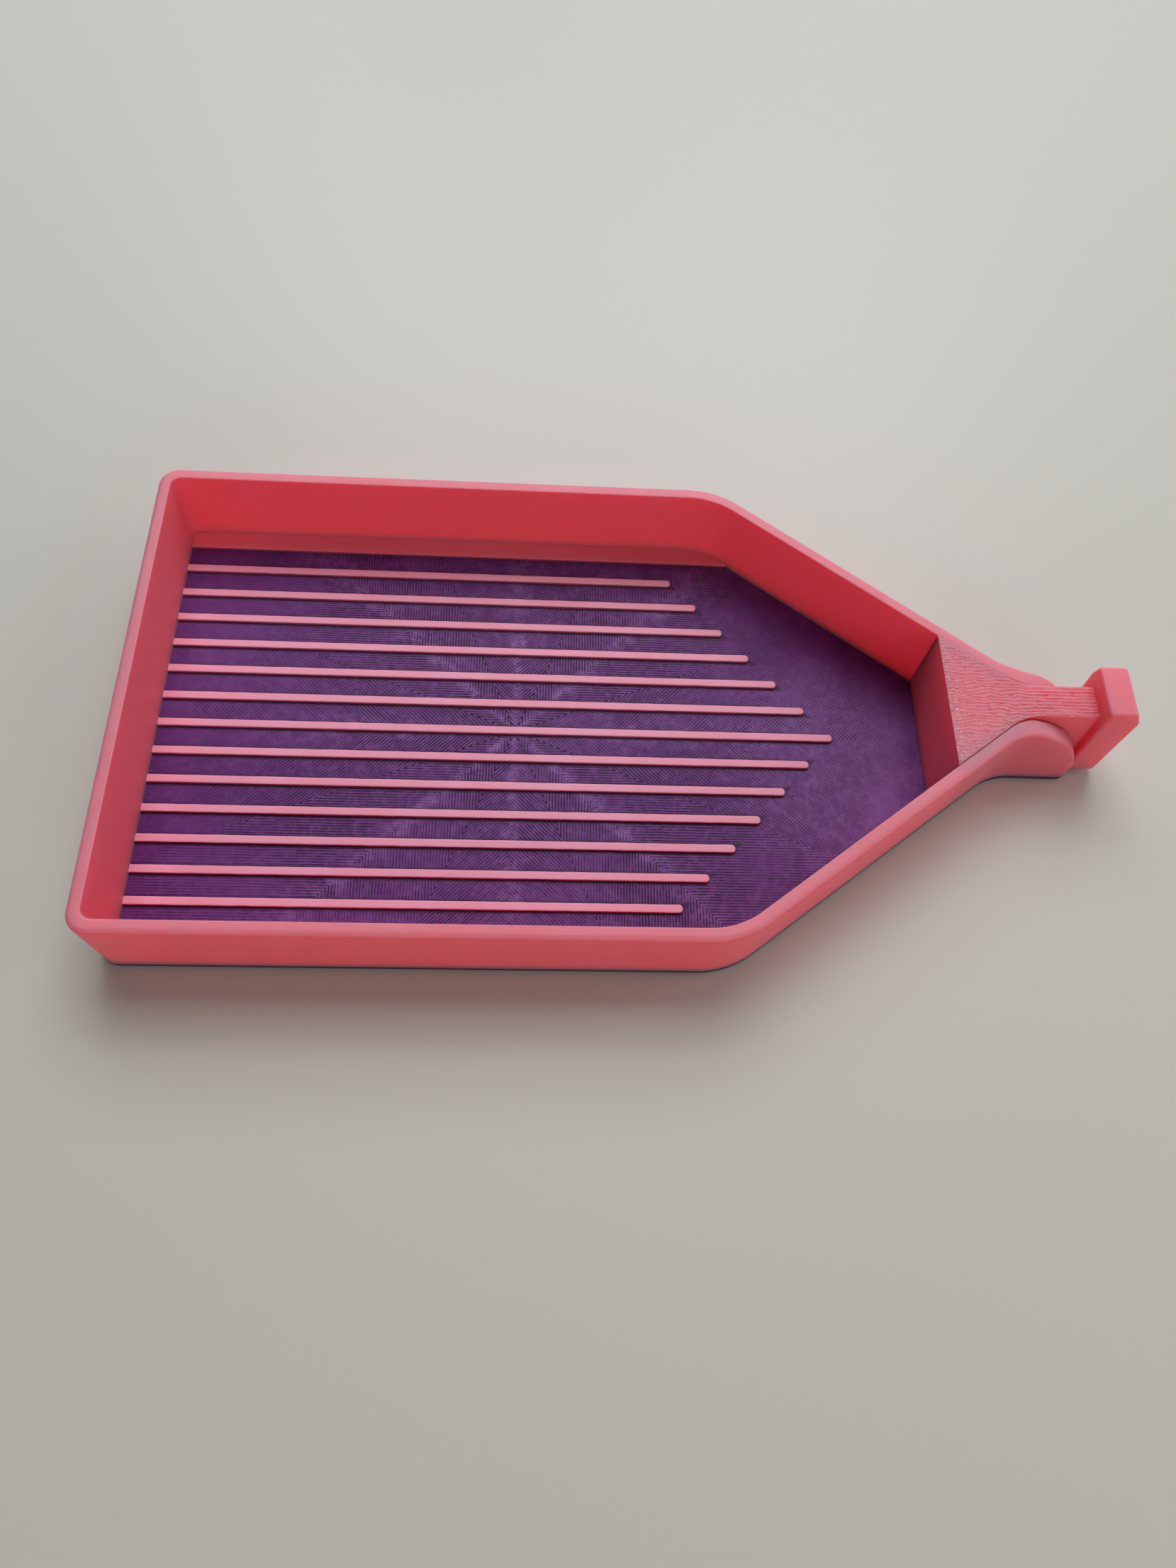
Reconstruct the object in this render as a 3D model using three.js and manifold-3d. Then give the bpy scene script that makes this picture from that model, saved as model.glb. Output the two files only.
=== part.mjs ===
// Bead sorting tray: a shallow ribbed tray that narrows to a pouring spout, with a lift-out stopper.
// Units are millimetres, +Z is up and +X points out of the spout. The tray is symmetric about Y = 0.
// Inside the group, x = 0 is the inner face of the end wall. The group then moves the whole part so
// that its origin is the middle of its footprint, on the surface that it stands on.

import * as THREE from 'three';
import { mergeVertices } from 'three/addons/utils/BufferGeometryUtils.js';
import Module from 'manifold-3d';

const wasm = await Module();
wasm.setup();

// Driving dimensions.
const pitch = 4.0; // distance between rib centre lines
const ribCount = 13;
const ribWidth = 1.1;
const ribHeight = 0.4;
const longestRib = 86.9; // the middle rib
const ribStep = 3.45; // each rib is this much shorter than its inner neighbour
const ribEndRadius = 0.4;

const plateThickness = 0.8;
const wallHeight = 11.4; // above the plate
const wallThickness = 1.65;
const insideHalfWidth = 30;
const straightLength = 70.8; // from the end wall to the corner where the funnel starts
const funnelSlope = 0.745; // how fast each funnel wall closes in, per unit of x
const bendRadius = 10;
const cornerRadius = 1.3; // inside the two corners of the end wall
const outerCornerRadius = 2.6;

const channelHalfWidth = 2.5;
const lipHalfWidth = 4.75; // outside of the spout's two lips
const neckRadius = 7; // where the funnel turns into the channel
const outerNeckRadius = 8;
const spoutEnd = 118;
const lipCornerRadius = 1.4;
const lipInnerRadius = 0.5;

const stopperFront = 98.6;
const stopperTop = 12.5; // height of the wedge and the stem above the ground
const sideGap = 0.25;
const stemGap = 0.35;
const restGap = 0.1;
const knobStart = 118.15;
const knobEnd = 121.9;
const knobBottom = 0.6;
const knobTop = 15;
const knobHalfWidth = 3.75;
const knobShift = 0.3; // the knob stands this much off the stem's centre line, towards +Y
const knobLean = 0.9; // its inner face leans this much towards the tray at the top
const knobCornerRadius = 0.4;
const endChamfer = 1.1; // inset of the cut along the top outer edge
const sideChamfer = 0.55; // inset of the cut along the top +Y edge
const chamferDrop = 2.1; // both cuts start this far below the top

// Derived dimensions.
const wallTop = plateThickness + wallHeight;
const footStripInner = 7 * pitch - ribWidth / 2; // the side strips start where a seventh rib would
const funnelOffset = Math.hypot(1, funnelSlope); // y shift of a funnel line per unit of thickness
const middleX = (knobEnd - wallThickness) / 2;
const curveSegments = 8;

const pinkPlastic = { color: '#dc7d8c', roughness: 0.62, metalness: 0 };
const purplePlastic = { color: '#694179', roughness: 0.55, metalness: 0 };

// x where a funnel line that starts at insideHalfWidth + shift reaches the given y.
function funnelX(y, shift = 0) {
  return straightLength + (insideHalfWidth + shift * funnelOffset - y) / funnelSlope;
}

// y of the same line at the given x.
function funnelY(x, shift = 0) {
  return insideHalfWidth + shift * funnelOffset - (x - straightLength) * funnelSlope;
}

// A closed shape from corner points [x, y, radius], each corner rounded by an arc.
function roundedShape(corners) {
  const shape = new THREE.Shape();
  corners.forEach(([x, y, radius = 0], i) => {
    const corner = new THREE.Vector2(x, y);
    const before = corners.at(i - 1);
    const after = corners[(i + 1) % corners.length];
    const back = new THREE.Vector2(before[0] - x, before[1] - y).normalize();
    const ahead = new THREE.Vector2(after[0] - x, after[1] - y).normalize();
    const half = Math.acos(THREE.MathUtils.clamp(back.dot(ahead), -1, 1)) / 2;
    const reach = radius / Math.tan(half);
    const start = corner.clone().addScaledVector(back, reach);
    const end = corner.clone().addScaledVector(ahead, reach);
    if (i === 0) shape.moveTo(start.x, start.y);
    else shape.lineTo(start.x, start.y);
    if (radius === 0) return;
    const middle = back.clone().add(ahead).normalize();
    const centre = corner.clone().addScaledVector(middle, radius / Math.sin(half));
    const from = Math.atan2(start.y - centre.y, start.x - centre.x);
    const to = Math.atan2(end.y - centre.y, end.x - centre.x);
    shape.absarc(centre.x, centre.y, radius, from, to, back.cross(ahead) > 0);
  });
  shape.closePath();
  return shape;
}

// The same corner points mirrored to the other side of Y = 0, in reverse order.
function mirrored(corners) {
  return corners.map(([x, y, radius]) => [x, -y, radius]).reverse();
}

function extrudeUp(shape, bottom, top) {
  const options = { depth: top - bottom, bevelEnabled: false, curveSegments };
  return new THREE.ExtrudeGeometry(shape, options).translate(0, 0, bottom);
}

// A side view, drawn in X and Z, extruded to both sides of Y = 0.
function extrudeAcross(shape, halfWidth) {
  const options = { depth: 2 * halfWidth, bevelEnabled: false, curveSegments: 16 };
  const geometry = new THREE.ExtrudeGeometry(shape, options);
  return geometry.rotateX(Math.PI / 2).translate(0, halfWidth, 0);
}

// A front view, drawn in Y and Z, extruded from one x to another.
function extrudeAlong(shape, from, to) {
  const options = { depth: to - from, bevelEnabled: false, curveSegments };
  const geometry = new THREE.ExtrudeGeometry(shape, options);
  return geometry.rotateX(Math.PI / 2).rotateZ(Math.PI / 2).translate(from, 0, 0);
}

function toSolid(geometry) {
  const bare = geometry.clone();
  bare.deleteAttribute('normal');
  bare.deleteAttribute('uv');
  const merged = mergeVertices(bare, 1e-5);
  const mesh = new wasm.Mesh({
    numProp: 3,
    vertProperties: new Float32Array(merged.attributes.position.array),
    triVerts: new Uint32Array(merged.index.array),
  });
  return new wasm.Manifold(mesh);
}

function toGeometry(solid) {
  const mesh = solid.getMesh();
  const geometry = new THREE.BufferGeometry();
  geometry.setAttribute('position', new THREE.BufferAttribute(mesh.vertProperties, 3));
  geometry.setIndex(new THREE.BufferAttribute(mesh.triVerts, 1));
  geometry.computeVertexNormals();
  return geometry;
}

function makePart(name, geometry, finish) {
  const part = new THREE.Mesh(geometry, new THREE.MeshStandardMaterial(finish));
  part.name = name;
  return part;
}

// Corners of the tray's outside on the +Y side, from the end wall to the tip of the lip.
function outsideCorners() {
  const half = insideHalfWidth + wallThickness;
  return [
    [-wallThickness, half, outerCornerRadius],
    [funnelX(half, wallThickness), half, bendRadius + wallThickness],
    [funnelX(lipHalfWidth, wallThickness), lipHalfWidth, outerNeckRadius],
    [spoutEnd, lipHalfWidth, lipCornerRadius],
  ];
}

// Corners of the tray's inside on the +Y side, from the tip of the lip back to the end wall.
function insideCorners() {
  return [
    [spoutEnd, channelHalfWidth, lipInnerRadius],
    [funnelX(channelHalfWidth), channelHalfWidth, neckRadius],
    [straightLength, insideHalfWidth, bendRadius],
    [0, insideHalfWidth, cornerRadius],
  ];
}

function makeFloorPlate() {
  const outline = roundedShape([...mirrored(outsideCorners()), ...outsideCorners()]);
  return makePart('floor_plate', extrudeUp(outline, 0, plateThickness), purplePlastic);
}

// Side view of the wall: level rim, then a quarter circle down to the tip of the spout.
function wallSideView() {
  const overhang = 2 * wallThickness;
  const shape = new THREE.Shape();
  shape.moveTo(-overhang, plateThickness - overhang);
  shape.lineTo(spoutEnd, plateThickness - overhang);
  shape.lineTo(spoutEnd, plateThickness);
  shape.absarc(spoutEnd - wallHeight, plateThickness, wallHeight, 0, Math.PI / 2);
  shape.lineTo(-overhang, wallTop);
  shape.closePath();
  return shape;
}

function makeTrayWall() {
  const ring = [...outsideCorners(), ...insideCorners()];
  const outline = roundedShape([...ring, ...mirrored(ring)]);
  const straightWall = toSolid(extrudeUp(outline, plateThickness, wallTop));
  const side = toSolid(extrudeAcross(wallSideView(), 2 * insideHalfWidth));
  return makePart('tray_wall', toGeometry(straightWall.intersect(side)), pinkPlastic);
}

function makeRib(index) {
  const fromMiddle = index - (ribCount - 1) / 2;
  const length = longestRib - ribStep * Math.abs(fromMiddle);
  const outline = roundedShape([
    [0, -ribWidth / 2],
    [length, -ribWidth / 2, ribEndRadius],
    [length, ribWidth / 2, ribEndRadius],
    [0, ribWidth / 2],
  ]);
  const geometry = extrudeUp(outline, plateThickness, plateThickness + ribHeight);
  const name = `rib_${String(index + 1).padStart(2, '0')}`;
  const rib = makePart(name, geometry, pinkPlastic);
  rib.position.y = -fromMiddle * pitch;
  return rib;
}

// The strip at the foot of a side wall, as high as the ribs. It runs out where the wall bends in.
function makeFootStrip(name, side) {
  const inside = [...insideCorners(), ...mirrored(insideCorners())];
  const depth = insideHalfWidth - footStripInner;
  const band = new THREE.BoxGeometry(spoutEnd, depth, ribHeight);
  band.translate(spoutEnd / 2, side * (footStripInner + depth / 2), plateThickness + ribHeight / 2);
  const filled = toSolid(extrudeUp(roundedShape(inside), plateThickness, wallTop));
  return makePart(name, toGeometry(filled.intersect(toSolid(band))), pinkPlastic);
}

// The knob: a block with rounded upright corners, cut to a leaning inner face and two top chamfers.
function knobSolid() {
  const outline = roundedShape([
    [knobStart - knobLean, -knobHalfWidth, knobCornerRadius],
    [knobEnd, -knobHalfWidth, knobCornerRadius],
    [knobEnd, knobHalfWidth, knobCornerRadius],
    [knobStart - knobLean, knobHalfWidth, knobCornerRadius],
  ]);
  const block = toSolid(extrudeUp(outline, knobBottom, knobTop));
  const side = roundedShape([
    [knobStart, knobBottom],
    [knobEnd, knobBottom],
    [knobEnd, knobTop - chamferDrop],
    [knobEnd - endChamfer, knobTop],
    [knobStart - knobLean, knobTop],
  ]);
  const front = roundedShape([
    [-knobHalfWidth, knobBottom],
    [knobHalfWidth, knobBottom],
    [knobHalfWidth, knobTop - chamferDrop],
    [knobHalfWidth - sideChamfer, knobTop],
    [-knobHalfWidth, knobTop],
  ]);
  const across = extrudeAcross(side, 2 * knobHalfWidth);
  const along = extrudeAlong(front, knobStart - 2 * knobLean, knobEnd + knobLean);
  const solid = block.intersect(toSolid(across)).intersect(toSolid(along));
  return solid.translate([0, knobShift, 0]);
}

// The stopper: a wedge that fills the throat, a stem that lies in the channel, and the knob.
function makeStopper() {
  const stemHalfWidth = channelHalfWidth - stemGap;
  const half = [
    [stopperFront, funnelY(stopperFront, -sideGap), 0],
    [funnelX(stemHalfWidth, -sideGap), stemHalfWidth, neckRadius],
    [(knobStart + knobEnd) / 2, stemHalfWidth, 0],
  ];
  const bottom = plateThickness + restGap;
  const body = extrudeUp(roundedShape([...half, ...mirrored(half)]), bottom, stopperTop);
  const solid = toSolid(body).add(knobSolid());
  return makePart('stopper', toGeometry(solid), pinkPlastic);
}

const tray = new THREE.Group();
tray.add(makeFloorPlate(), makeTrayWall());
for (let index = 0; index < ribCount; index++) tray.add(makeRib(index));
tray.add(makeFootStrip('far_foot_strip', 1), makeFootStrip('near_foot_strip', -1));

const whole = new THREE.Group();
whole.add(tray, makeStopper());
whole.position.x = -middleX;

export default whole;
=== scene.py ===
"""Looks for the bead sorting tray: a two-colour 3D print with a loose stopper in its spout."""

import math

import bmesh
import bpy
from mathutils import Matrix, Vector, noise


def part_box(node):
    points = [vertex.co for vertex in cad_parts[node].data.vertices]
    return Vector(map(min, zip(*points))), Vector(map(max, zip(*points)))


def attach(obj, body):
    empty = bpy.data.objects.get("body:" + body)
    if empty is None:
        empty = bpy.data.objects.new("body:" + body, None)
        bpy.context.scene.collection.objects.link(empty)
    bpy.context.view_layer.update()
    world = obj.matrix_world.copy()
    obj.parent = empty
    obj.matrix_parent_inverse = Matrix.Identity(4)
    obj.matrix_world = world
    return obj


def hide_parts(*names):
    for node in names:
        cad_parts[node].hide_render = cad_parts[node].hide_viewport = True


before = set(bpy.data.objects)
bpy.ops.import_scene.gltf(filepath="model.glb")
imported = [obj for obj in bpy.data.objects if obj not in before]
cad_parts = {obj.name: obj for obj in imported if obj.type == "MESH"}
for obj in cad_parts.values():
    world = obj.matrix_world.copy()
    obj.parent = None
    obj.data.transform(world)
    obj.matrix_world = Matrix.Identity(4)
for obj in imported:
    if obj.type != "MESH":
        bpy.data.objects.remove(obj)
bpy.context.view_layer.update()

MM = 0.001

# Sizes in millimetres, as in the CAD model. x = 0 here is the inner face of the end wall.
WALL = 1.65
INSIDE_HALF = 30.0
STRAIGHT = 70.8
SLOPE = 0.745
BEND_RADIUS = 10.0
CORNER_RADIUS = 1.3
OUTER_CORNER_RADIUS = 2.6
CHANNEL_HALF = 2.5
LIP_HALF = 4.75
NECK_RADIUS = 7.0
OUTER_NECK_RADIUS = 8.0
SPOUT_END = 118.0
LIP_CORNER = 1.4
LIP_INNER_CORNER = 0.5
STOPPER_FRONT = 98.6
STOPPER_TOP = 12.5
STEM_HALF = 2.15
REST_GAP = 0.1
KNOB_HALF = 3.75
KNOB_SHIFT = 0.3
KNOB_LEAN = 0.9
KNOB_INNER_X = 118.15
KNOB_END_X = 121.9
KNOB_BOTTOM = 0.6
KNOB_END_CHAMFER = 1.1
KNOB_SIDE_CHAMFER = 0.55
KNOB_CHAMFER_DROP = 2.1
RIB_COUNT = 13
RIB_PITCH = 4.0
RIB_WIDTH = 1.1
LONGEST_RIB = 86.9
RIB_STEP = 3.45

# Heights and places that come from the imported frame.
floor_low, floor_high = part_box("floor_plate")
SHIFT_X = floor_low.x / MM + WALL
PLATE_TOP = floor_high.z / MM
RIM_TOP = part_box("tray_wall")[1].z / MM
RIM_RADIUS = RIM_TOP - PLATE_TOP
KNOB_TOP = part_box("stopper")[1].z / MM
STOPPER_BOTTOM = PLATE_TOP + REST_GAP

# The seam beside the wedge as it looks on the real print. The CAD solids keep 0.25 mm there.
SEAM = 0.07

# What a printer leaves behind, in millimetres.
LAYER = 0.2  # height of one layer
LINE = 0.37  # width of one line of the purple floor
PINK_LINE = 0.42  # width of one line along the pink tops
PLATE_EDGE = 0.12  # how far the plate's foot is drawn in

# Sizes of softened edges, in millimetres.
RIM_OUTER_EDGE = 0.75
CRISP_EDGE = 0.14
RIB_EDGE = 0.12
KNOB_EDGE = 0.42


# ---------------------------------------------------------------- outlines

def funnel_x(y, shift=0.0):
    """x where a funnel wall reaches y, for a line moved outwards by shift."""
    return STRAIGHT + (INSIDE_HALF + shift * math.hypot(1, SLOPE) - y) / SLOPE


def funnel_y(x, shift=0.0):
    """y of the same line at x."""
    return INSIDE_HALF + shift * math.hypot(1, SLOPE) - (x - STRAIGHT) * SLOPE


def arc_at(before, corner, after, radius, steps):
    """Points of the arc that rounds a corner, from the side of before to the side of after."""
    back = (before - corner).normalized()
    ahead = (after - corner).normalized()
    half = back.angle(ahead) / 2
    middle = (back + ahead).normalized()
    centre = corner + middle * (radius / math.sin(half))
    start = corner + back * (radius / math.tan(half)) - centre
    end = corner + ahead * (radius / math.tan(half)) - centre
    turn = start.angle_signed(end)
    return [centre + start @ Matrix.Rotation(turn * i / steps, 2) for i in range(steps + 1)]


# Points in each rounded corner and in each straight stretch before it, from the end wall to the lip.
ARC_STEPS = (12, 18, 18, 24)
STRAIGHT_STEPS = (40, 90, 40, 20)


def chain(start, corners, last):
    """A line of points from start through rounded corners (x, y, radius), heading for last."""
    points = [Vector(start)]
    stops = [Vector(start), *[Vector(place[:2]) for place in corners], Vector(last)]
    for i, corner in enumerate(corners):
        radius = corner[2]
        arc = arc_at(stops[i], stops[i + 1], stops[i + 2], radius, ARC_STEPS[i])
        before = points[-1]
        steps = STRAIGHT_STEPS[i]
        points += [before.lerp(arc[0], k / steps) for k in range(1, steps)]
        points += arc
    return points


def outer_half():
    """The tray's outside from the middle of the end wall to the tip of the +Y lip."""
    half = INSIDE_HALF + WALL
    corners = [
        (-WALL, half, OUTER_CORNER_RADIUS),
        (funnel_x(half, WALL), half, BEND_RADIUS + WALL),
        (funnel_x(LIP_HALF, WALL), LIP_HALF, OUTER_NECK_RADIUS),
        (SPOUT_END, LIP_HALF, LIP_CORNER),
    ]
    return chain((-WALL, 0), corners, (SPOUT_END, 0))


def inner_half():
    """The tray's inside, with the same count of points in each stretch as outer_half."""
    corners = [
        (0, INSIDE_HALF, CORNER_RADIUS),
        (STRAIGHT, INSIDE_HALF, BEND_RADIUS),
        (funnel_x(CHANNEL_HALF), CHANNEL_HALF, NECK_RADIUS),
        (SPOUT_END, CHANNEL_HALF, LIP_INNER_CORNER),
    ]
    return chain((0, 0), corners, (SPOUT_END, INSIDE_HALF))


def mirror_run(points):
    """The whole run from the -Y tip to the +Y tip, from the +Y half."""
    return [Vector((p.x, -p.y)) for p in reversed(points[1:])] + points


# ---------------------------------------------------------------- mesh helpers

def make_object(name, bm, body, node, material):
    """A piece from a mesh in millimetres, in place of a CAD node and riding on its body."""
    mesh = bpy.data.meshes.new(name)
    bmesh.ops.transform(bm, matrix=Matrix.Translation((SHIFT_X, 0, 0)), verts=bm.verts)
    bmesh.ops.scale(bm, vec=(MM, MM, MM), verts=bm.verts)
    bmesh.ops.recalc_face_normals(bm, faces=bm.faces)
    bm.to_mesh(mesh)
    bm.free()
    obj = bpy.data.objects.new(name, mesh)
    bpy.context.scene.collection.objects.link(obj)
    mesh.materials.append(material)
    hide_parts(node)
    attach(obj, body)
    return obj


def smooth_by_angle(obj, degrees):
    """Smooth shading, with an edge kept sharp where its faces meet at more than this angle."""
    mesh = obj.data
    mesh.shade_smooth()
    bm = bmesh.new()
    bm.from_mesh(mesh)
    for edge in bm.edges:
        edge.smooth = len(edge.link_faces) == 2 and edge.calc_face_angle() < math.radians(degrees)
    bm.to_mesh(mesh)
    bm.free()


def bridge_rings(bm, rings, closed):
    """Quads between each ring and the next. A closed ring also joins its last point to its first."""
    for first, second in zip(rings, rings[1:]):
        count = len(first)
        for i in range(count if closed else count - 1):
            k = (i + 1) % count
            corners = [first[i], first[k], second[k], second[i]]
            distinct = list(dict.fromkeys(corners))
            if len(distinct) > 2:
                bm.faces.new(distinct)


def ladder(bm, stations, height, columns):
    """Rows of vertices across the part, one row for each (x, half width)."""
    rows = []
    for x, half in stations:
        offsets = [half * (2 * k / columns - 1) for k in range(columns + 1)]
        rows.append([bm.verts.new((x, y, height)) for y in offsets])
    return rows


def ring_of(rows):
    """The vertices round the edge of a ladder, in order."""
    left = [row[0] for row in rows]
    right = [row[-1] for row in rows]
    return left + rows[-1][1:-1] + right[::-1] + rows[0][1:-1][::-1]


def close_ladders(bm, top, middle, bottom):
    """A closed solid from three ladders. Only the rim of the middle one is used."""
    bridge_rings(bm, top, closed=False)
    bridge_rings(bm, bottom, closed=False)
    bridge_rings(bm, [ring_of(rows) for rows in (top, middle, bottom)], closed=True)
    for row in middle:
        for vertex in row[1:-1]:
            if not vertex.link_faces:
                bm.verts.remove(vertex)


# ---------------------------------------------------------------- tray wall

FACE_LEVELS = 6  # points up each upright face
EDGE_STEPS = 6  # steps round each softened edge
RIM_STEPS = 6  # steps across the flat of the rim
MOST_OF_HEIGHT = 0.45  # a softened edge takes no more than these shares of the wall
MOST_OF_WIDTH = 0.48


def edge_drop(inset, radius):
    """How far a rounded edge lies below its face, at a distance from the side."""
    if inset >= radius:
        return 0.0
    return radius - math.sqrt(radius * radius - (radius - inset) ** 2)


def rim_height(x):
    """Height of the wall's top: level, then a quarter circle down to the tip of the spout."""
    reach = x - (SPOUT_END - RIM_RADIUS)
    if reach <= 0:
        return RIM_TOP
    return PLATE_TOP + math.sqrt(max(RIM_RADIUS ** 2 - reach ** 2, 0.0))


def rim_normal(x):
    """Direction that the wall's top faces."""
    reach = min(max(x - (SPOUT_END - RIM_RADIUS), 0.0) / RIM_RADIUS, 1.0)
    return Vector((reach, 0, math.sqrt(1 - reach * reach)))


def run_normals(points, outside):
    """Unit normals in plan of a run of points, pointing out of the wall's material."""
    normals = []
    for i in range(len(points)):
        along = points[min(i + 1, len(points) - 1)] - points[max(i - 1, 0)]
        normal = Vector((-along.y, along.x, 0)).normalized()
        normals.append(normal if outside else -normal)
    return normals


def wall_face(point, normal, full_radius, width):
    """One upright face and its softened top edge, from the foot up: (place, distance in from the face)."""
    top = rim_height(point.x)
    up = rim_normal(point.x)
    lean = up.dot(normal)
    radius = min(full_radius * (1 - abs(lean)), MOST_OF_HEIGHT * (top - PLATE_TOP), MOST_OF_WIDTH * width)
    down = -(up - normal * lean)
    down = down.normalized() if down.length > 1e-6 else Vector((0, 0, -1))
    peak = Vector((point.x, point.y, top))
    start = peak + down * radius
    foot = point if radius < full_radius * 0.9 else start
    base = Vector((foot.x, foot.y, PLATE_TOP))
    face = [(base.lerp(start, k / FACE_LEVELS), 0.0) for k in range(FACE_LEVELS)]
    for k in range(EDGE_STEPS + 1):
        inset = radius * (1 - math.cos(math.pi / 2 * k / EDGE_STEPS))
        place = peak - normal * inset + down * edge_drop(inset, radius)
        face.append((place, inset))
    return face


def wall_section(outer, inner, outer_normal, inner_normal):
    """One cross-section of the wall, outside to inside: (place, distance from the outer face)."""
    width = (inner - outer).length
    rise = wall_face(outer, outer_normal, RIM_OUTER_EDGE, width)
    fall = wall_face(inner, inner_normal, CRISP_EDGE, width)[::-1]
    (rise_end, rise_inset), (fall_start, fall_inset) = rise[-1], fall[0]
    flat = []
    for k in range(1, RIM_STEPS):
        place = rise_end.lerp(fall_start, k / RIM_STEPS)
        place.z = rim_height(place.x)
        flat.append((place, rise_inset + (width - fall_inset - rise_inset) * k / RIM_STEPS))
    return rise + flat + [(place, width - inset) for place, inset in fall]


def build_wall(material):
    outer = mirror_run(outer_half())
    inner = mirror_run(inner_half())
    bm = bmesh.new()
    across = bm.verts.layers.float.new("across")
    rings = []
    for place in zip(outer, inner, run_normals(outer, True), run_normals(inner, False)):
        ring = []
        for point, inset in wall_section(*place):
            vertex = bm.verts.new(point)
            vertex[across] = inset
            ring.append(vertex)
        rings.append(ring)
    bridge_rings(bm, rings, closed=True)
    for ring in (rings[0], rings[-1]):
        bm.faces.new(ring)
    bmesh.ops.remove_doubles(bm, verts=bm.verts, dist=0.004)
    bmesh.ops.dissolve_degenerate(bm, edges=bm.edges, dist=0.002)
    wall = make_object("tray_wall_print", bm, "tray", "tray_wall", material)
    smooth_by_angle(wall, 40)


# ---------------------------------------------------------------- floor plate

def plate_foot_x(x):
    """x of the plate's foot, drawn in at the end wall and at the tip of the spout."""
    if x > SPOUT_END - 1:
        return x - PLATE_EDGE
    return x + PLATE_EDGE if x < 0 else x


def build_floor(material):
    columns = 24
    stations = [(p.x, p.y) for p in outer_half()[STRAIGHT_STEPS[0]:]]
    foot_stations = [(plate_foot_x(x), y - PLATE_EDGE) for x, y in stations]
    bm = bmesh.new()
    top = ladder(bm, stations, PLATE_TOP, columns)
    middle = ladder(bm, stations, PLATE_EDGE * 1.5, columns)
    bottom = ladder(bm, foot_stations, 0.0, columns)
    close_ladders(bm, top, middle, bottom)
    plate = make_object("floor_plate_print", bm, "tray", "floor_plate", material)
    smooth_by_angle(plate, 30)


# ---------------------------------------------------------------- ribs and foot strips

RIB_STATIONS = 150  # rings along the straight of a rib
CAP_STATIONS = 15  # rings round its free end
EDGE_POINTS = 5  # points round a rib's or strip's softened edge


def edge_angles():
    return [math.pi / 2 * k / (EDGE_POINTS - 1) for k in range(EDGE_POINTS)]


def rib_profile(half, height, edge):
    """One half of a flat bead's section: points (offset from the middle, height)."""
    points = [(half, 0.0), (half, (height - edge) / 2)]
    for angle in edge_angles():
        points.append((half - edge + edge * math.cos(angle), height - edge + edge * math.sin(angle)))
    points.append(((half - edge) / 2, height))
    return points


def rib_ring(x, index, half, height, straight, cap):
    """A rib's section at x: points (offset from its middle, height above the plate)."""
    seed = Vector((x * 0.55, index * 7.3, 0.0))
    wobble = noise.noise(seed) * 0.022
    drift = noise.noise(seed + Vector((31.0, 0, 0))) * 0.012
    end_blob = 0.035 * math.exp(-((straight + cap - 0.9 - x) / 0.9) ** 2)
    over = max(x - straight, 0.0) / cap
    narrow = math.sqrt(max(1 - over * over, 0.0))
    width = (half - 0.02) * (0.16 + 0.84 * narrow) + wobble * narrow
    width = min(width + end_blob * narrow * 0.3, half)
    tall = min(height - 0.012 + wobble * 0.4, height) * (0.72 + 0.28 * narrow)
    profile = rib_profile(width, tall, min(RIB_EDGE, width * 0.6))
    ring = [(drift + y, z) for y, z in profile]
    return ring + [(drift - y, z) for y, z in reversed(profile)]


def build_rib(index, material):
    name = f"rib_{index:02d}"
    low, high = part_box(name)
    half = (high.y - low.y) / MM / 2
    middle = (high.y + low.y) / MM / 2
    height = high.z / MM - PLATE_TOP
    cap = half * 0.92
    straight = (high.x - low.x) / MM - cap
    stations = [straight * k / RIB_STATIONS for k in range(RIB_STATIONS)]
    for k in range(CAP_STATIONS):
        stations.append(straight + cap * math.sin(math.pi / 2 * k / (CAP_STATIONS - 1)))
    bm = bmesh.new()
    rings = []
    for x in stations:
        ring = rib_ring(x, index, half, height, straight, cap)
        rings.append([bm.verts.new((x, middle + y, PLATE_TOP + z)) for y, z in ring])
    bridge_rings(bm, rings, closed=True)
    bm.faces.new(rings[0])
    bm.faces.new(rings[-1])
    rib = make_object(f"{name}_print", bm, "tray", name, material)
    smooth_by_angle(rib, 50)


def strip_wall_line(inner_edge):
    """The inside of the wall from the end wall's corner to where a foot strip runs out."""
    line = [p for p in inner_half() if p.y >= inner_edge]
    line = [p for p in line if p.x >= CORNER_RADIUS or p.y >= INSIDE_HALF]
    start = Vector((0.0, INSIDE_HALF - 0.4))
    return [start, *line, Vector((funnel_x(inner_edge), inner_edge))]


def strip_ring(p, side, inner_edge, height):
    """A foot strip's section: points (distance from the tray's middle, height)."""
    width = p.y - inner_edge
    wobble = max(noise.noise(Vector((p.x * 0.6, side * 3.0, 2.0))) * 0.02, 0) * min(width, 1)
    edge = min(RIB_EDGE, width / 2)
    ring = [(p.y, PLATE_TOP), (p.y, height), (p.y - width * 0.3, height), (p.y - width * 0.6, height)]
    for angle in edge_angles():
        y = inner_edge + edge - edge * math.sin(angle) + wobble
        ring.append((y, height - edge + edge * math.cos(angle)))
    ring.append((inner_edge + wobble, PLATE_TOP))
    return ring


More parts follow.
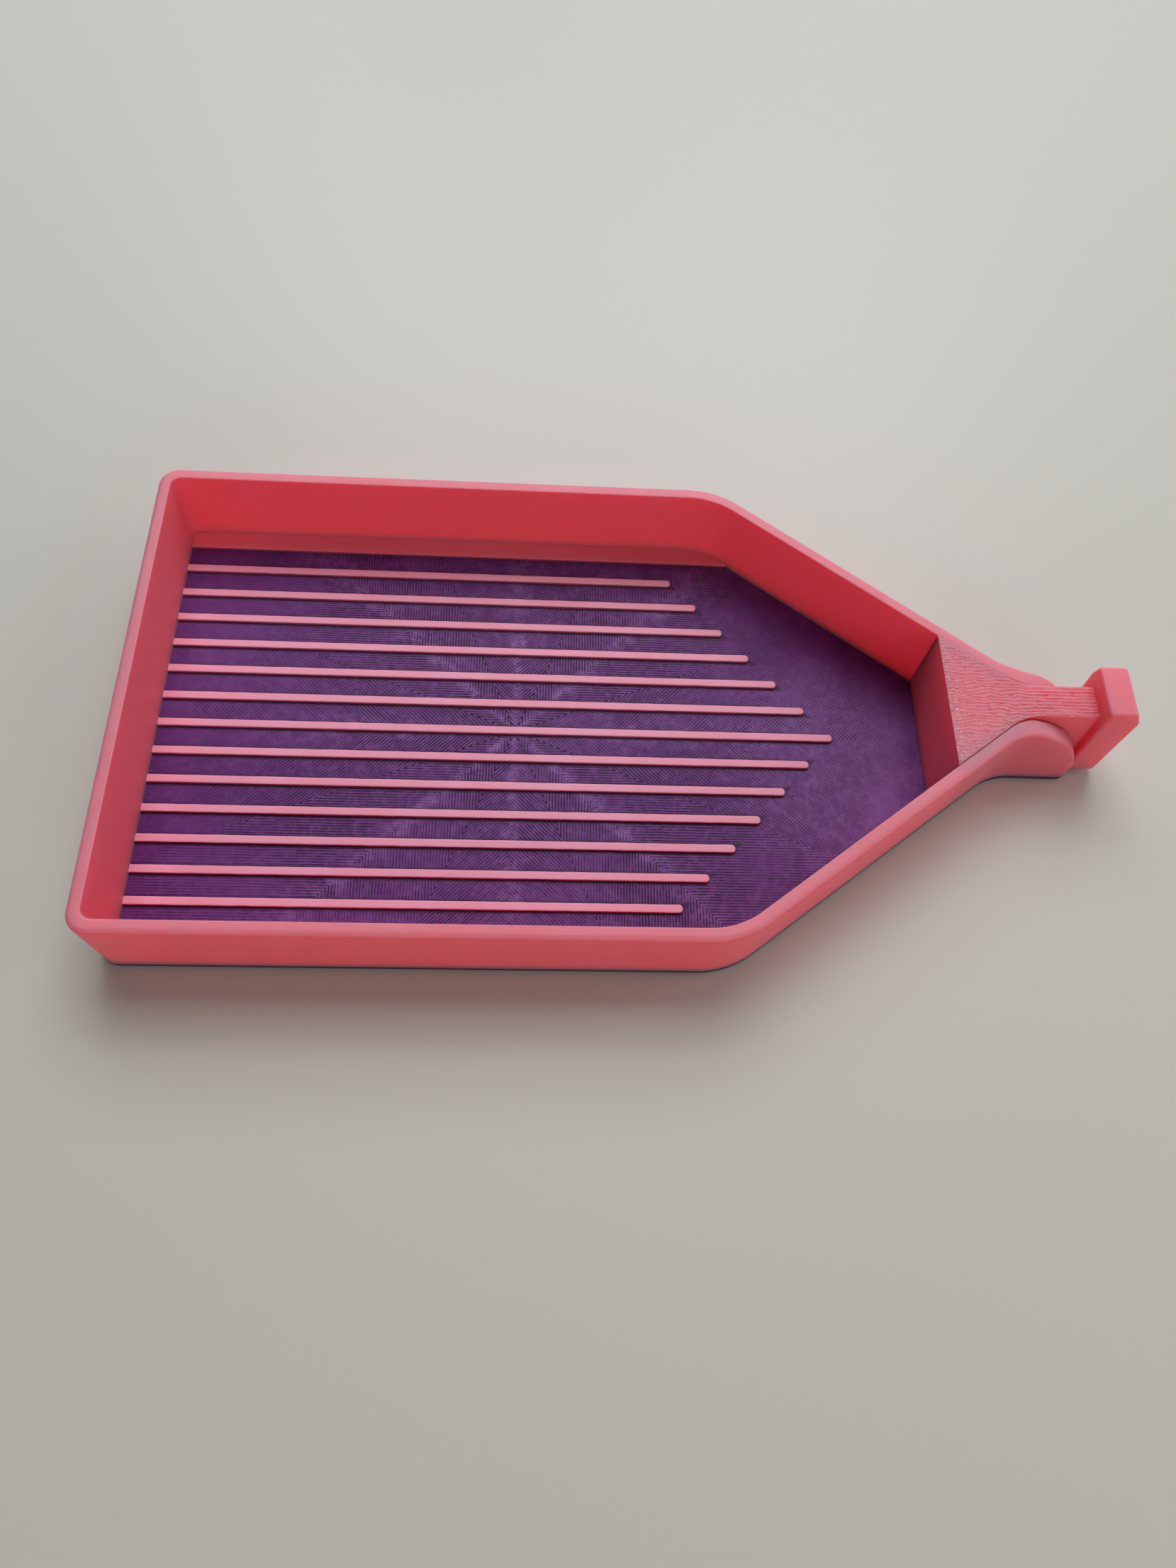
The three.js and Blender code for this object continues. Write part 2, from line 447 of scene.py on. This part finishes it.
def build_foot_strip(name, side, material):
    low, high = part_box(name)
    inner_edge = min(abs(low.y), abs(high.y)) / MM
    height = high.z / MM
    bm = bmesh.new()
    rings = []
    for p in strip_wall_line(inner_edge):
        ring = strip_ring(p, side, inner_edge, height)
        rings.append([bm.verts.new((p.x, side * y, z)) for y, z in ring])
    bridge_rings(bm, rings, closed=True)
    bm.faces.new(rings[0])
    bmesh.ops.remove_doubles(bm, verts=bm.verts, dist=0.002)
    strip = make_object(f"{name}_print", bm, "tray", name, material)
    smooth_by_angle(strip, 50)


# ---------------------------------------------------------------- stopper

STEM_START = 110.0  # the torn ridges run wild on the wedge and straight from here on
RIDGE_SPACING = 0.47
SCAR_MIDDLE = 0.15  # depth of the torn top's middle level below STOPPER_TOP
SIDE_DROP = 0.25  # the stopper's upright sides end this far below STOPPER_TOP
SCAR_FADE = 0.25  # the tearing grows weaker within this distance of the outline


def scar(x, y):
    """Height of the support-scarred top: broken ridges along x, with pits and torn crumbs."""
    on_wedge = min(max((STEM_START - x) / 4.0, 0.0), 1.0)
    bend = noise.noise(Vector((x * 0.55, y * 0.5, 0.0))) * (0.06 + 0.45 * on_wedge)
    ridge = math.cos(2 * math.pi * (y + bend) / RIDGE_SPACING)
    tear = noise.noise(Vector((x * (0.4 + 0.7 * on_wedge), y * 2.2, 5.0)))
    grain = noise.fractal(Vector((x * 2.6, y * 5.0, 9.0)), 0.8, 2.0, 4)
    pit = min(noise.noise(Vector((x * 1.3, y * 2.4, 14.0))) + 0.25, 0.0)
    lump = max(noise.noise(Vector((x * 0.9, y * 1.5, 21.0))) - 0.1, 0.0)
    return 0.075 * ridge * (0.75 + 0.9 * tear) * (1 - lump) + 0.045 * grain + 0.24 * pit + 0.10 * lump


def torn_height(x, y, from_outline):
    """Height of the stopper's top, where the tearing grows weaker towards the outline."""
    fade = min(from_outline / SCAR_FADE, 1.0)
    height = STOPPER_TOP - SCAR_MIDDLE + scar(x, y) * (0.35 + 0.65 * fade) - 0.06 * (1 - fade)
    return min(height, STOPPER_TOP)


def stopper_half_widths():
    """(x, half width) along the wedge and the stem."""
    start = Vector((STOPPER_FRONT, funnel_y(STOPPER_FRONT, -SEAM)))
    corner = Vector((funnel_x(STEM_HALF, -SEAM), STEM_HALF))
    end = Vector(((KNOB_INNER_X + KNOB_END_X) / 2, STEM_HALF))
    arc = arc_at(start, corner, end, NECK_RADIUS, 30)
    points = [start.lerp(arc[0], k / 60) for k in range(60)] + arc
    points += [arc[-1].lerp(end, k / 90) for k in range(1, 91)]
    return [(p.x, p.y) for p in points]


def stopper_body():
    """The wedge and the stem, with the torn top."""
    columns = 150
    stations = stopper_half_widths()
    bm = bmesh.new()
    top = ladder(bm, stations, STOPPER_TOP, columns)
    upper = ladder(bm, stations, STOPPER_TOP - SIDE_DROP, columns)
    lower = ladder(bm, stations, STOPPER_BOTTOM, columns)
    for row in top:
        width = row[-1].co.y - row[0].co.y
        for k, vertex in enumerate(row):
            x, y = vertex.co.x, vertex.co.y
            from_side = min(k, columns - k) / columns * width
            vertex.co.z = torn_height(x, y, min(from_side, x - STOPPER_FRONT))
    close_ladders(bm, top, upper, lower)
    bmesh.ops.recalc_face_normals(bm, faces=bm.faces)
    return bm


def knob_hull():
    """The knob: a block with a leaning inner face and two chamfers, its edges softened."""
    shoulder = KNOB_TOP - KNOB_CHAMFER_DROP
    near, far = KNOB_SHIFT - KNOB_HALF, KNOB_SHIFT + KNOB_HALF
    lean = KNOB_LEAN / (KNOB_TOP - KNOB_BOTTOM)
    outline = [
        (KNOB_BOTTOM, KNOB_END_X, far),
        (shoulder, KNOB_END_X, far),
        (KNOB_TOP, KNOB_END_X - KNOB_END_CHAMFER, far - KNOB_SIDE_CHAMFER),
    ]
    bm = bmesh.new()
    for z, outer_x, far_y in outline:
        inner_x = KNOB_INNER_X - lean * (z - KNOB_BOTTOM)
        for x in (inner_x, outer_x):
            for y in (near, far_y):
                bm.verts.new((x, y, z))
    bmesh.ops.convex_hull(bm, input=bm.verts)
    bmesh.ops.dissolve_limit(bm, angle_limit=math.radians(2), verts=bm.verts, edges=bm.edges)
    bmesh.ops.bevel(bm, geom=bm.edges, offset=KNOB_EDGE, segments=4, profile=0.5, affect="EDGES")
    bmesh.ops.recalc_face_normals(bm, faces=bm.faces)
    return bm


def temporary_object(name, bm):
    mesh = bpy.data.meshes.new(name)
    bm.to_mesh(mesh)
    bm.free()
    obj = bpy.data.objects.new(name, mesh)
    bpy.context.scene.collection.objects.link(obj)
    return obj


def build_stopper(material):
    body = temporary_object("stopper_body", stopper_body())
    knob = temporary_object("stopper_knob", knob_hull())
    union = body.modifiers.new("union", "BOOLEAN")
    union.operation = "UNION"
    union.solver = "EXACT"
    union.object = knob
    bpy.context.view_layer.update()
    evaluated = body.evaluated_get(bpy.context.evaluated_depsgraph_get())
    bm = bmesh.new()
    bm.from_mesh(evaluated.to_mesh())
    bpy.data.objects.remove(body)
    bpy.data.objects.remove(knob)
    stopper = make_object("stopper_print", bm, "stopper", "stopper", material)
    smooth_by_angle(stopper, 42)


# ---------------------------------------------------------------- shader helpers

class Field:
    """A number that varies over a surface. Arithmetic on it adds math nodes to its node tree."""

    def __init__(self, tree, socket):
        self.tree = tree
        self.socket = socket

    def op(self, operation, *others):
        node = self.tree.nodes.new("ShaderNodeMath")
        node.operation = operation
        for slot, value in zip(node.inputs, (self, *others)):
            connect(self.tree, value, slot)
        return Field(self.tree, node.outputs[0])

    def __add__(self, other):
        return self.op("ADD", other)

    def __sub__(self, other):
        return self.op("SUBTRACT", other)

    def __mul__(self, other):
        return self.op("MULTIPLY", other)

    def __truediv__(self, other):
        return self.op("DIVIDE", other)

    def inverse(self):
        """One minus the field."""
        return (self * -1.0) + 1.0

    def size(self):
        """The field without its sign."""
        return self.op("ABSOLUTE")

    def fraction(self):
        return self.op("FRACT")

    def smaller(self, other):
        return self.op("MINIMUM", other)

    def larger(self, other):
        return self.op("MAXIMUM", other)

    def step_up(self, low, high):
        """0 below low, 1 above high, and a smooth slope between them."""
        node = self.tree.nodes.new("ShaderNodeMapRange")
        node.interpolation_type = "SMOOTHSTEP"
        self.tree.links.new(self.socket, node.inputs["Value"])
        node.inputs["From Min"].default_value = low
        node.inputs["From Max"].default_value = high
        return Field(self.tree, node.outputs["Result"])

    def blend(self, other, share):
        """This field where share is 0, the other field where it is 1."""
        return self + (other - self) * share


def connect(tree, value, slot):
    """Feeds a field or a plain number to a node's input."""
    if isinstance(value, Field):
        tree.links.new(value.socket, slot)
    else:
        slot.default_value = value


def bead(phase):
    """Height across a row of printed lines, from 0 in each groove to 1 on each line."""
    off_middle = (phase.fraction() - 0.5).size() * 2.0
    return off_middle.op("POWER", 4.0).inverse()


class Paint:
    """A material being made, with its coordinates in millimetres."""

    def __init__(self, name):
        self.material = bpy.data.materials.new(name)
        self.material.use_nodes = True
        self.tree = self.material.node_tree
        self.shader = self.tree.nodes["Principled BSDF"]
        coordinates = self.tree.nodes.new("ShaderNodeTexCoord")
        scale = self.tree.nodes.new("ShaderNodeVectorMath")
        scale.operation = "SCALE"
        scale.inputs["Scale"].default_value = 1 / MM
        self.tree.links.new(coordinates.outputs["Object"], scale.inputs[0])
        self.x, self.y, self.z = self.split(scale.outputs[0])
        self.facing_up = self.split(coordinates.outputs["Normal"])[2]

    def split(self, vector):
        node = self.tree.nodes.new("ShaderNodeSeparateXYZ")
        self.tree.links.new(vector, node.inputs[0])
        return [Field(self.tree, output) for output in node.outputs]

    def attribute(self, name):
        node = self.tree.nodes.new("ShaderNodeAttribute")
        node.attribute_name = name
        return Field(self.tree, node.outputs["Fac"])

    def noise(self, x, y, z, scale=1.0, detail=2.0, roughness=0.5):
        """Noise from about 0 to 1, with features 1 / scale apart."""
        place = self.tree.nodes.new("ShaderNodeCombineXYZ")
        for slot, value in zip(place.inputs, (x, y, z)):
            connect(self.tree, value, slot)
        node = self.tree.nodes.new("ShaderNodeTexNoise")
        node.inputs["Scale"].default_value = scale
        node.inputs["Detail"].default_value = detail
        node.inputs["Roughness"].default_value = roughness
        self.tree.links.new(place.outputs[0], node.inputs["Vector"])
        return Field(self.tree, node.outputs["Fac"])

    def colour_mix(self, first, second, share):
        """The first colour where share is 0, the second where it is 1."""
        node = self.tree.nodes.new("ShaderNodeMix")
        node.data_type = "RGBA"
        for slot, value in ((node.inputs[6], first), (node.inputs[7], second)):
            if isinstance(value, tuple):
                slot.default_value = (*value, 1)
            else:
                self.tree.links.new(value, slot)
        self.tree.links.new(share.socket, node.inputs[0])
        return node.outputs[2]

    def translucent(self, radius):
        """Light soaks into the plastic: a long way for red, and hardly at all for green and blue."""
        self.shader.inputs["Subsurface Weight"].default_value = 1.0
        self.shader.inputs["Subsurface Radius"].default_value = radius
        self.shader.inputs["Subsurface Scale"].default_value = MM

    def finish(self, colour, height, roughness, specular):
        """Connects the colour, the relief in millimetres and the roughness to the shader."""
        bump = self.tree.nodes.new("ShaderNodeBump")
        bump.inputs["Distance"].default_value = MM
        self.tree.links.new(height.socket, bump.inputs["Height"])
        self.tree.links.new(bump.outputs[0], self.shader.inputs["Normal"])
        self.tree.links.new(colour, self.shader.inputs["Base Color"])
        self.tree.links.new(roughness.socket, self.shader.inputs["Roughness"])
        self.shader.inputs["Specular IOR Level"].default_value = specular
        return self.material


# ---------------------------------------------------------------- pink plastic

PINK = (0.97, 0.148, 0.200)
# paler pink of level faces: painted sheen
PINK_SHEEN = (0.93, 0.275, 0.35)
PINK_DEEP = (0.90, 0.13, 0.18)
PINK_PALE = (0.95, 0.52, 0.56)
PINK_THIN = (0.90, 0.365, 0.52)
PINK_STRIP = (0.92, 0.20, 0.27)
# painted shade low on the sides of ribs and strips
PINK_LOW_SHADE = (0.20, 0.02, 0.06)
# paler pink of the stopper's level faces: painted sheen, with more on the rough torn top
STOPPER_TOP_PINK_AND_SHEEN = (0.84, 0.28, 0.35)
PURPLE_SPECK = (0.42, 0.16, 0.42)

WALL_SOAK = (5.5, 0.40, 0.50)
STOPPER_SOAK = (4.0, 0.35, 0.50)
PINK_SPECULAR = 0.42

TORN_ABOVE = 0.15  # the torn look reaches this far above and below STOPPER_TOP
TORN_BELOW = 1.5


def pink_base(paint, across):
    """Plain pink print: its relief, its grain, and 1 on upright faces or 0 on level ones."""
    upright = paint.facing_up.size().step_up(0.35, 0.8).inverse()
    layers = bead(paint.z / LAYER)
    beads = bead(across / PINK_LINE)
    grain = paint.noise(paint.x, paint.y, paint.z, 3.2, 3.0, 0.6)
    relief = (layers * 0.007) * upright + (beads * 0.010) * upright.inverse() + grain * 0.012
    return relief, grain, upright


def pink_blotches(paint, grain, upright):
    """Where the pink is a little deeper: soft patches, and streaks along the layers."""
    patch = paint.noise(paint.x, paint.y, paint.z * 2.0, 0.12, 3.0)
    streak = paint.noise(paint.x * 0.05, paint.y * 0.05, paint.z * 2.5, 1.0, 2.0)
    return (patch.step_up(0.35, 0.7) * 0.16 + streak.step_up(0.4, 0.7) * upright * 0.14) + grain * 0.05


def wall_print():
    """The wall's plastic, which light soaks into, with painted sheen on its level faces."""
    paint = Paint("pink_wall_plastic")
    relief, grain, upright = pink_base(paint, paint.attribute("across"))
    # Painted sheen: level faces get a paler pink than upright ones.
    plain = paint.colour_mix(PINK, PINK_SHEEN, upright.inverse())
    colour = paint.colour_mix(plain, PINK_DEEP, pink_blotches(paint, grain, upright))
    paint.translucent(WALL_SOAK)
    return paint.finish(colour, relief, grain * 0.14 + 0.44, PINK_SPECULAR)


def rib_print():
    """The plastic of the thin ribs and foot strips, with painted shade low on their sides."""
    paint = Paint("pink_rib_plastic")
    relief, grain, upright = pink_base(paint, paint.y)
    # Painted shade: the sides of ribs and strips go near-black red towards the plate.
    low = (paint.z - PLATE_TOP).step_up(0.25, 0.385).inverse()
    on_strip = paint.y.size().step_up(27.0, 27.4)
    plain = paint.colour_mix(PINK_THIN, PINK_STRIP, on_strip)
    plain = paint.colour_mix(plain, PINK_LOW_SHADE, low * 0.85)
    colour = paint.colour_mix(plain, PINK_DEEP, pink_blotches(paint, grain, upright))
    return paint.finish(colour, relief, grain * 0.14 + 0.44, PINK_SPECULAR)


def torn_top(paint):
    """1 on the stopper's torn top, and 0 on its sides and on the knob."""
    below_knob_top = (paint.z - STOPPER_TOP - TORN_ABOVE).step_up(-0.01, 0.01).inverse()
    above_knob_foot = (paint.z - STOPPER_TOP + TORN_BELOW).step_up(0.0, 0.1)
    return paint.facing_up.step_up(0.3, 0.7) * below_knob_top * above_knob_foot


def stopper_print():
    """Pink print whose top is scarred where supports were broken off."""
    paint = Paint("stopper_plastic")
    relief, grain, upright = pink_base(paint, paint.y)
    on_top = torn_top(paint)
    depth = (paint.z * -1.0 + STOPPER_TOP).step_up(0.13, 0.36)
    fibres = paint.noise(paint.x * 1.4, paint.y * 7.0, paint.z, 1.0, 4.0, 0.65)
    crumbs = paint.noise(paint.x * 2.4, paint.y * 3.4, 3.0, 1.0, 2.0)
    specks = paint.noise(paint.x, paint.y, 8.0, 1.3, 2.0)
    near_front = (paint.x - (SHIFT_X + STOPPER_FRONT)).step_up(0.3, 2.2).inverse()
    pale_share = crumbs.step_up(0.52, 0.68) * (near_front * 0.75 + 0.20) * on_top
    # Level faces, the knob's top among them, get a paler pink as painted sheen; the torn top gets more of
    # it because its rough plastic is paler.
    plain = paint.colour_mix(PINK, STOPPER_TOP_PINK_AND_SHEEN, upright.inverse() * 0.6 + on_top * 0.4)
    colour = paint.colour_mix(plain, PINK_DEEP, (depth * 0.90 + fibres * 0.30) * on_top)
    colour = paint.colour_mix(colour, PINK_PALE, pale_share)
    colour = paint.colour_mix(colour, PURPLE_SPECK, specks.step_up(0.66, 0.74) * on_top * 0.35)
    relief = relief + (fibres * 0.08 + crumbs * 0.07) * on_top
    paint.translucent(STOPPER_SOAK)
    return paint.finish(colour, relief, grain * 0.14 + 0.46, PINK_SPECULAR)


# ---------------------------------------------------------------- purple floor

PURPLE = (0.140, 0.021, 0.200)
PURPLE_DEEP = (0.022, 0.004, 0.032)
# darker purple of the plate's sides: painted shade
PURPLE_SHADED_SIDE = (0.085, 0.018, 0.075)
# paler purple: painted sheen on the floor
PURPLE_SHEEN = (0.37, 0.165, 0.49)
PURPLE_SPECULAR = 0.28

STAR_X = 45.2  # centre of the star of lines, on Y = 0
STAR_SLOPE = math.tan(math.radians(22.5))  # straight lines meet slanted ones on this slope
PATCH_X = 88.0  # middle of the painted sheen patch near the stopper
PATCH_Y = -4.0
PATCH_RADIUS = 19.0


def painted_rib_shadow(paint):
    """Painted shadow on the floor where it meets the ribs, whose free ends lie on two slanted lines."""
    to_rib = ((paint.y / RIB_PITCH + 0.5).fraction() - 0.5).size() * RIB_PITCH - RIB_WIDTH / 2
    past_ends = paint.x - (SHIFT_X + LONGEST_RIB) + paint.y.size() * (RIB_STEP / RIB_PITCH)
    among_ribs = past_ends.step_up(0.0, 0.5).inverse() * paint.y.size().step_up(24.9, 25.4).inverse()
    return to_rib.step_up(0.10, 0.50).inverse() * among_ribs * 0.80


def star_distances(paint):
    """Distances from the star's centre along X and Y, in lines: the longer and the shorter."""
    wander = paint.noise(paint.x, paint.y, 0.0, 0.5, 2.0) - 0.5
    across_x = ((paint.x - (SHIFT_X + STAR_X)) / LINE).size() + wander * 0.35
    across_y = (paint.y / LINE).size() + wander * 0.35
    return across_x.larger(across_y), across_x.smaller(across_y)


def painted_star_sheen(longer, shorter, sheen_mottle):
    """Painted sheen along the star's axes and diagonals, strongest at its centre."""
    from_centre = longer * LINE
    spread = (from_centre / 40.0).step_up(0.20, 1.0).inverse()
    to_spoke = shorter.smaller((longer - shorter) / math.sqrt(2)) * LINE
    fan = (to_spoke / (from_centre * 0.10 + 0.5)).step_up(0.1, 1.0).inverse()
    return fan * (sheen_mottle * 0.8 + 0.2) * spread


def painted_sheen_patch(paint, sheen_mottle):
    """How strong the painted sheen is in the soft round patch near the stopper."""
    patch_x = (paint.x - (SHIFT_X + PATCH_X)) / PATCH_RADIUS
    patch_y = (paint.y - PATCH_Y) / PATCH_RADIUS
    inside = (patch_x * patch_x + patch_y * patch_y).step_up(0.0, 1.0).inverse()
    return inside * (sheen_mottle * 0.16 + 0.24)


def purple_print():
    """The floor: the star-shaped line pattern of the last purple layer, with fine grooves and dots,
    painted sheen, and painted shade beside the ribs and on the plate's sides.
    """
    paint = Paint("purple_plastic")
    longer, shorter = star_distances(paint)
    off_corner = shorter - longer * STAR_SLOPE
    phase = ((longer - shorter) / math.sqrt(2)).blend(shorter, off_corner.step_up(-0.02, 0.02))
    groove = (phase.fraction() - 0.5).size()
    uneven = paint.noise(paint.x, paint.y, 4.0, 0.11, 2.0).step_up(0.35, 0.62)
    dashes = paint.noise(paint.x, paint.y, 7.0, 1.5, 2.0).step_up(0.38, 0.56)
    sheen_mottle = paint.noise(paint.x, paint.y, 11.0, 0.55, 4.0, 0.65).step_up(0.36, 0.64)
    central = (longer * LINE / 50.0).step_up(0.16, 1.0).inverse()
    star_sheen = painted_star_sheen(longer, shorter, sheen_mottle)
    depth = (central * 0.60 + uneven * 0.45 + 0.22) * (dashes * 0.6 + 0.4) * (star_sheen * -0.4 + 1.0)
    line_gap = groove.step_up(0.10, 0.28).inverse() * depth
    dot = off_corner.size().step_up(0.45, 0.85).inverse() * groove.step_up(0.16, 0.34).inverse() * central
    on_top = paint.facing_up.step_up(0.5, 0.9)
    # Dark grooves and dots of the print, and the painted shadow beside the ribs.
    dark = line_gap.larger(dot).larger(painted_rib_shadow(paint)) * on_top
    # Painted sheen: paler purple along the star's spokes, towards its centre, in noisy patches and in the
    # round patch near the stopper.
    pale = star_sheen * 0.48 + central * (sheen_mottle * 0.16 + 0.05) + sheen_mottle * 0.04 + painted_sheen_patch(paint, sheen_mottle)
    # Painted shade: the plate's sides are a darker purple than its top.
    plain = paint.colour_mix(PURPLE_SHADED_SIDE, PURPLE, on_top)
    colour = paint.colour_mix(plain, PURPLE_SHEEN, pale * on_top)
    colour = paint.colour_mix(colour, PURPLE_DEEP, dark * 0.95)
    grain = paint.noise(paint.x, paint.y, paint.z, 3.0, 3.0, 0.6)
    relief = line_gap * -0.10 + grain * 0.012 + bead(phase) * 0.012
    return paint.finish(colour, relief, grain * 0.12 + 0.42, PURPLE_SPECULAR)


# ---------------------------------------------------------------- stage, lights and camera

TABLE_HALF = 3.0
TABLE_DROP = 0.00002  # keeps the table just below the plate's underside
TABLE_COLOUR = (0.645, 0.63, 0.58, 1)
TABLE_ROUGHNESS = 0.40
ROOM_COLOUR = (1.0, 0.92, 0.88, 1)
ROOM_STRENGTH = 0.06

CAMERA_PLACE = (48.06, -67.31, 124.77)  # in millimetres, with x from the end wall's inner face
CAMERA_ANGLES = (25.67, -3.757, -0.360)  # in degrees
CAMERA_LENS = 24.84
CAMERA_SHIFT = (-0.0094, 0.0016)


def build_table():
    bm = bmesh.new()
    bmesh.ops.create_grid(bm, x_segments=8, y_segments=8, size=TABLE_HALF)
    mesh = bpy.data.meshes.new("table")
    bm.to_mesh(mesh)
    bm.free()
    table = bpy.data.objects.new("table", mesh)
    table.location.z = -TABLE_DROP
    bpy.context.scene.collection.objects.link(table)
    material = bpy.data.materials.new("pale_table")
    material.use_nodes = True
    shader = material.node_tree.nodes["Principled BSDF"]
    shader.inputs["Base Color"].default_value = TABLE_COLOUR
    shader.inputs["Roughness"].default_value = TABLE_ROUGHNESS
    mesh.materials.append(material)


def area_light(name, place, width, depth, power, colour):
    """A soft rectangular light in metres and watts, aimed at the tray."""
    light = bpy.data.lights.new(name, "AREA")
    light.shape = "RECTANGLE"
    light.size = width
    light.size_y = depth
    light.energy = power
    light.color = colour
    obj = bpy.data.objects.new(name, light)
    obj.location = place
    obj.rotation_euler = (-Vector(place)).to_track_quat("-Z", "Y").to_euler()
    bpy.context.scene.collection.objects.link(obj)


def build_lights():
    area_light("right_window", (0.30, 0.66, 0.42), 0.66, 0.44, 0.45, (0.99, 0.99, 1.0))
    area_light("left_window", (-0.35, 0.66, 0.42), 0.50, 0.44, 0.60, (0.97, 0.99, 1.0))
    area_light("low_sky", (0.04, 0.55, 0.56), 0.56, 0.36, 2.1, (0.94, 0.96, 1.0))
    area_light("high_sky", (0.04, 0.35, 0.70), 0.56, 0.36, 2.0, (0.97, 1.0, 1.0))
    area_light("room_near", (0.16, -0.88, 0.36), 0.9, 0.4, 2.6, (1.0, 0.94, 0.88))
    area_light("room_right", (0.66, 0.06, 0.34), 0.50, 0.42, 1.15, (1.0, 0.94, 0.95))
    world = bpy.data.worlds.new("room")
    world.use_nodes = True
    background = world.node_tree.nodes["Background"]
    background.inputs["Color"].default_value = ROOM_COLOUR
    background.inputs["Strength"].default_value = ROOM_STRENGTH
    bpy.context.scene.world = world


def build_camera():
    data = bpy.data.cameras.new("camera")
    data.sensor_width = 36.0
    data.lens = CAMERA_LENS
    data.shift_x, data.shift_y = CAMERA_SHIFT
    data.clip_start = 0.005
    data.clip_end = 10.0
    camera = bpy.data.objects.new("camera", data)
    x, y, z = CAMERA_PLACE
    camera.location = ((x + SHIFT_X) * MM, y * MM, z * MM)
    camera.rotation_euler = [math.radians(angle) for angle in CAMERA_ANGLES]
    bpy.context.scene.collection.objects.link(camera)
    bpy.context.scene.camera = camera


# ---------------------------------------------------------------- the whole scene

bpy.context.scene.view_settings.view_transform = "Standard"
build_camera()
build_lights()
build_table()

build_floor(purple_print())
build_wall(wall_print())
rib_material = rib_print()
for rib_index in range(1, RIB_COUNT + 1):
    build_rib(rib_index, rib_material)
build_foot_strip("far_foot_strip", 1, rib_material)
build_foot_strip("near_foot_strip", -1, rib_material)
build_stopper(stopper_print())
